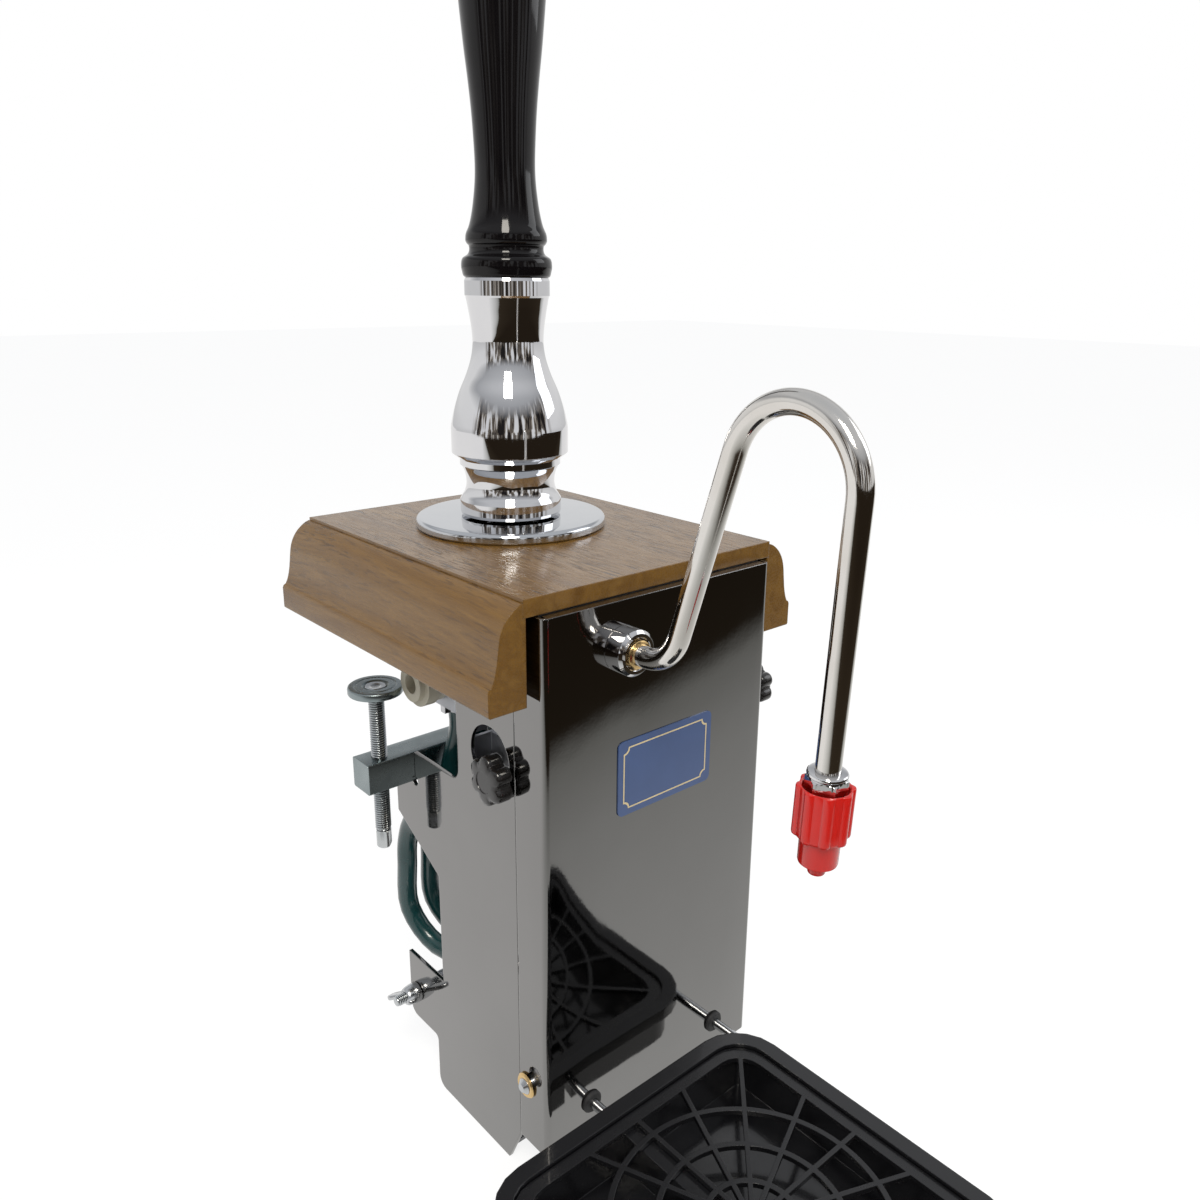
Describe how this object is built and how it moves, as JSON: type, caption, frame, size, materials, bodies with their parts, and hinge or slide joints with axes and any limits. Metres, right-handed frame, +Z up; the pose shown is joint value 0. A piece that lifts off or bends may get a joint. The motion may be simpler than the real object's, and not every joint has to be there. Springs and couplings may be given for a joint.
{
  "type": "hand pump beer engine",
  "caption": "Clamp-on hand pump beer engine: lever-driven piston pump in a gloss black case with oak cap, turned handle, swan neck spout and drip tray.",
  "frame": {"origin": "on the underside of the seat plate that rests on the counter, midway between the two clamp screws", "axes": "+Z up along the handle, +X to the pump's right as its drinker faces it, +Y from the front cover back over the counter"},
  "size_m": [0.2275, 0.3805, 0.693],
  "materials": {
    "black_gloss_steel": "high gloss black enamel",
    "inner_steel": "plain steel, dull",
    "zinc_plate": "zinc plated",
    "oak": "varnished oak",
    "chrome": "polished chrome",
    "neck_steel": "polished stainless tube",
    "label_face": "printed blue, bare of words",
    "bronze": "sintered bronze",
    "bright_steel": "bright turned steel",
    "grip_black": "gloss black",
    "piston_plastic": "natural white",
    "rubber_black": "black food rubber",
    "brass_fittings": "machined brass",
    "cylinder_alloy": "satin alloy",
    "valve_plastic": "dark acetal",
    "connector_grey": "pale grey",
    "hose_teal": "dark teal, soft gloss",
    "sparkler_red": "gloss red",
    "zinc_steel": "bright zinc plated",
    "tray_black": "black, semi-gloss"
  },
  "bodies": {
    "stand": {"side_panel_left": "black_gloss_steel", "side_panel_right": "black_gloss_steel", "front_cover": "black_gloss_steel", "top_plate": "inner_steel", "seat_plate": "zinc_plate", "bottom_plate": "inner_steel", "tray_rod_bracket": "zinc_plate", "cylinder_plate": "inner_steel", "cross_spacer": "zinc_plate", "oak_board": "oak", "oak_mouldings": "oak", "oak_rear_rail": "oak", "base_disc": "chrome", "label_plate": "label_face", "fulcrum_brackets": "inner_steel", "fulcrum_bushes": "bronze", "fulcrum_pin": "bright_steel", "gland_nut": "brass_fittings", "cylinder_ends": "cylinder_alloy", "cylinder_barrel": "cylinder_alloy", "tie_rods": "bright_steel", "valve_block": "valve_plastic", "check_valves": "rubber_black", "valve_plugs": "brass_fittings", "hose_tails": "brass_fittings", "inlet_bracket": "zinc_plate", "inlet_connector": "connector_grey", "inlet_hose": "hose_teal", "outlet_hose": "hose_teal", "hose_clips": "bright_steel", "swan_boss": "chrome", "boss_back_nut": "bright_steel", "clamp_bar": "zinc_steel", "knob_brackets": "zinc_plate", "wing_bolt": "zinc_steel", "shoulder_screws": "zinc_steel", "cup_washers": "brass_fittings", "tray_rods": "zinc_steel", "tray_grommets": "rubber_black"},
    "handle": {"lever": "inner_steel", "handle_stud": "bright_steel", "ferrule": "chrome", "handle_grip": "grip_black", "yoke_pin": "bright_steel"},
    "plunger": {"piston_rod": "bright_steel", "piston": "piston_plastic", "piston_seal": "rubber_black", "piston_nut": "bright_steel"},
    "spout": {"swan_neck": "neck_steel", "spout_collar": "chrome"},
    "sparkler_nozzle": {"sparkler": "sparkler_red"},
    "left_pad": {"clamp_pad_left": "zinc_steel"},
    "left_screw": {"clamp_screw_left": "zinc_steel"},
    "right_pad": {"clamp_pad_right": "zinc_steel"},
    "right_screw": {"clamp_screw_right": "zinc_steel"},
    "left_knob": {"knob_left": "grip_black"},
    "right_knob": {"knob_right": "grip_black"},
    "wing": {"wing_nut": "zinc_steel"},
    "tray": {"drip_tray": "tray_black"},
    "grille": {"drip_grille": "tray_black"}
  },
  "joints": [
    {"name": "handle_pull", "type": "hinge", "parent": "stand", "child": "handle", "pos_m": [0, -0.036, 0.0235], "axis": [1, 0, 0], "range_deg": [0, 45]},
    {"name": "piston_stroke", "type": "slide", "parent": "stand", "child": "plunger", "axis": [0, 0, -1], "range_m": [0, 0.0346]},
    {"name": "spout_swivel", "type": "hinge", "parent": "stand", "child": "spout", "pos_m": [-0.0265, -0.1205, 0.017], "axis": [0, 1, 0], "range_deg": [-35, 35]},
    {"name": "sparkler_turn", "type": "hinge", "parent": "spout", "child": "sparkler_nozzle", "pos_m": [-0.0265, -0.22662, 0.00148], "axis": [0, 0.0436, -0.999], "continuous": true},
    {"name": "left_pad_travel", "type": "slide", "parent": "stand", "child": "left_pad", "axis": [0, 0, 1], "range_m": [-0.0295, 0.0205]},
    {"name": "left_screw_turn", "type": "hinge", "parent": "left_pad", "child": "left_screw", "pos_m": [-0.085, 0, -0.061], "axis": [0, 0, 1], "range_deg": [-8505, 5910]},
    {"name": "right_pad_travel", "type": "slide", "parent": "stand", "child": "right_pad", "axis": [0, 0, 1], "range_m": [-0.0295, 0.0205]},
    {"name": "right_screw_turn", "type": "hinge", "parent": "right_pad", "child": "right_screw", "pos_m": [0.085, 0, -0.061], "axis": [0, 0, 1], "range_deg": [-8505, 5910]},
    {"name": "left_knob_turn", "type": "hinge", "parent": "stand", "child": "left_knob", "pos_m": [-0.075, -0.0845, -0.042], "axis": [1, 0, 0], "continuous": true},
    {"name": "right_knob_turn", "type": "hinge", "parent": "stand", "child": "right_knob", "pos_m": [0.075, -0.0845, -0.042], "axis": [1, 0, 0], "continuous": true},
    {"name": "wing_nut_turn", "type": "hinge", "parent": "stand", "child": "wing", "pos_m": [-0.075, 0, -0.206], "axis": [1, 0, 0], "continuous": true},
    {"name": "tray_slide", "type": "slide", "parent": "stand", "child": "tray", "axis": [0, -1, 0], "range_m": [0, 0.13]},
    {"name": "grille_lift", "type": "slide", "parent": "tray", "child": "grille", "axis": [0, 0, 1], "range_m": [0, 0.04]}
  ],
  "couplings": [
    {"joint": "piston_stroke", "follows": "handle_pull", "m_per_rad": 0.04391},
    {"joint": "left_screw_turn", "follows": "left_pad_travel", "rad_per_m": 5026.5},
    {"joint": "right_screw_turn", "follows": "right_pad_travel", "rad_per_m": 5026.5}
  ]
}
